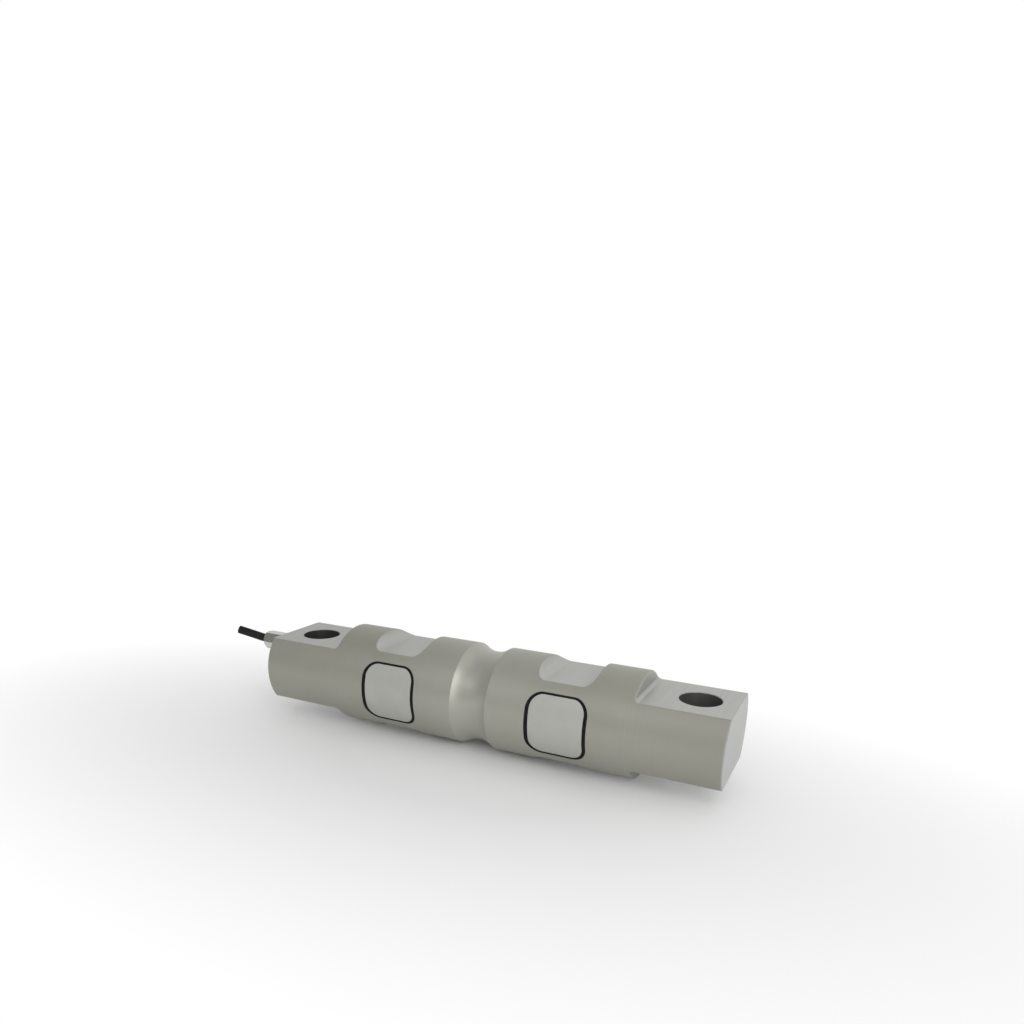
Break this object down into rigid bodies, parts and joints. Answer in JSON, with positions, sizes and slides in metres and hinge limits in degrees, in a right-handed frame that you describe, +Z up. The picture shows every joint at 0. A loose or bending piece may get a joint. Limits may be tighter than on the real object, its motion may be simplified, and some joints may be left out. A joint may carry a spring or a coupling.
{
  "type": "double ended beam load cell",
  "caption": "Round bar load cell with bolted flat ends, a load groove round the middle, milled saddles, sealed gauge pockets and a cable gland with a short cut cable.",
  "frame": {"origin": "middle of the bar, on its axis", "axes": "+X along the bar to the plain end, with the cable at -X; +Z up along the bolt holes; -Y is the front"},
  "size_m": [0.3468, 0.06, 0.06],
  "materials": {
    "plated_steel": "satin plated steel with fine machining marks",
    "cover_steel": "satin stainless sheet",
    "sealant": "matte black sealant",
    "gland_metal": "polished nickel plate",
    "gland_rubber": "matte black rubber",
    "cable_jacket": "matte black jacket",
    "shield_braid": "tinned braid",
    "gauge_film": "amber film with foil grids",
    "terminal_laminate": "laminate with tinned pads",
    "board_laminate": "green solder mask",
    "resistor_body": "dark coated chip",
    "standoff_nylon": "natural nylon",
    "lead_insulation": "grey insulation",
    "lead_wire": "tinned wire",
    "core_red": "red insulation",
    "core_black": "black insulation",
    "core_green": "green insulation",
    "core_white": "white insulation"
  },
  "bodies": {
    "root": {"beam": "plated_steel", "pocket_cover_front_left": "cover_steel", "cover_seal_front_left": "sealant", "strain_gauge_front_left": "gauge_film", "solder_terminal_front_left": "terminal_laminate", "pocket_cover_front_right": "cover_steel", "cover_seal_front_right": "sealant", "strain_gauge_front_right": "gauge_film", "solder_terminal_front_right": "terminal_laminate", "pocket_cover_rear_left": "cover_steel", "cover_seal_rear_left": "sealant", "strain_gauge_rear_left": "gauge_film", "solder_terminal_rear_left": "terminal_laminate", "pocket_cover_rear_right": "cover_steel", "cover_seal_rear_right": "sealant", "strain_gauge_rear_right": "gauge_film", "solder_terminal_rear_right": "terminal_laminate", "web_lead_left": "lead_insulation", "web_lead_right": "lead_insulation", "cross_lead": "lead_insulation", "board_leads": "lead_wire", "trim_board": "board_laminate", "trim_resistors": "resistor_body", "board_standoffs": "standoff_nylon", "gland_gasket": "gland_rubber", "gland_body": "gland_metal", "gland_seal": "gland_rubber", "gland_nut": "gland_metal", "cable_sheath": "cable_jacket", "cable_shield": "shield_braid", "core_red": "core_red", "core_black": "core_black", "core_green": "core_green", "core_white": "core_white"}
  },
  "joints": []
}
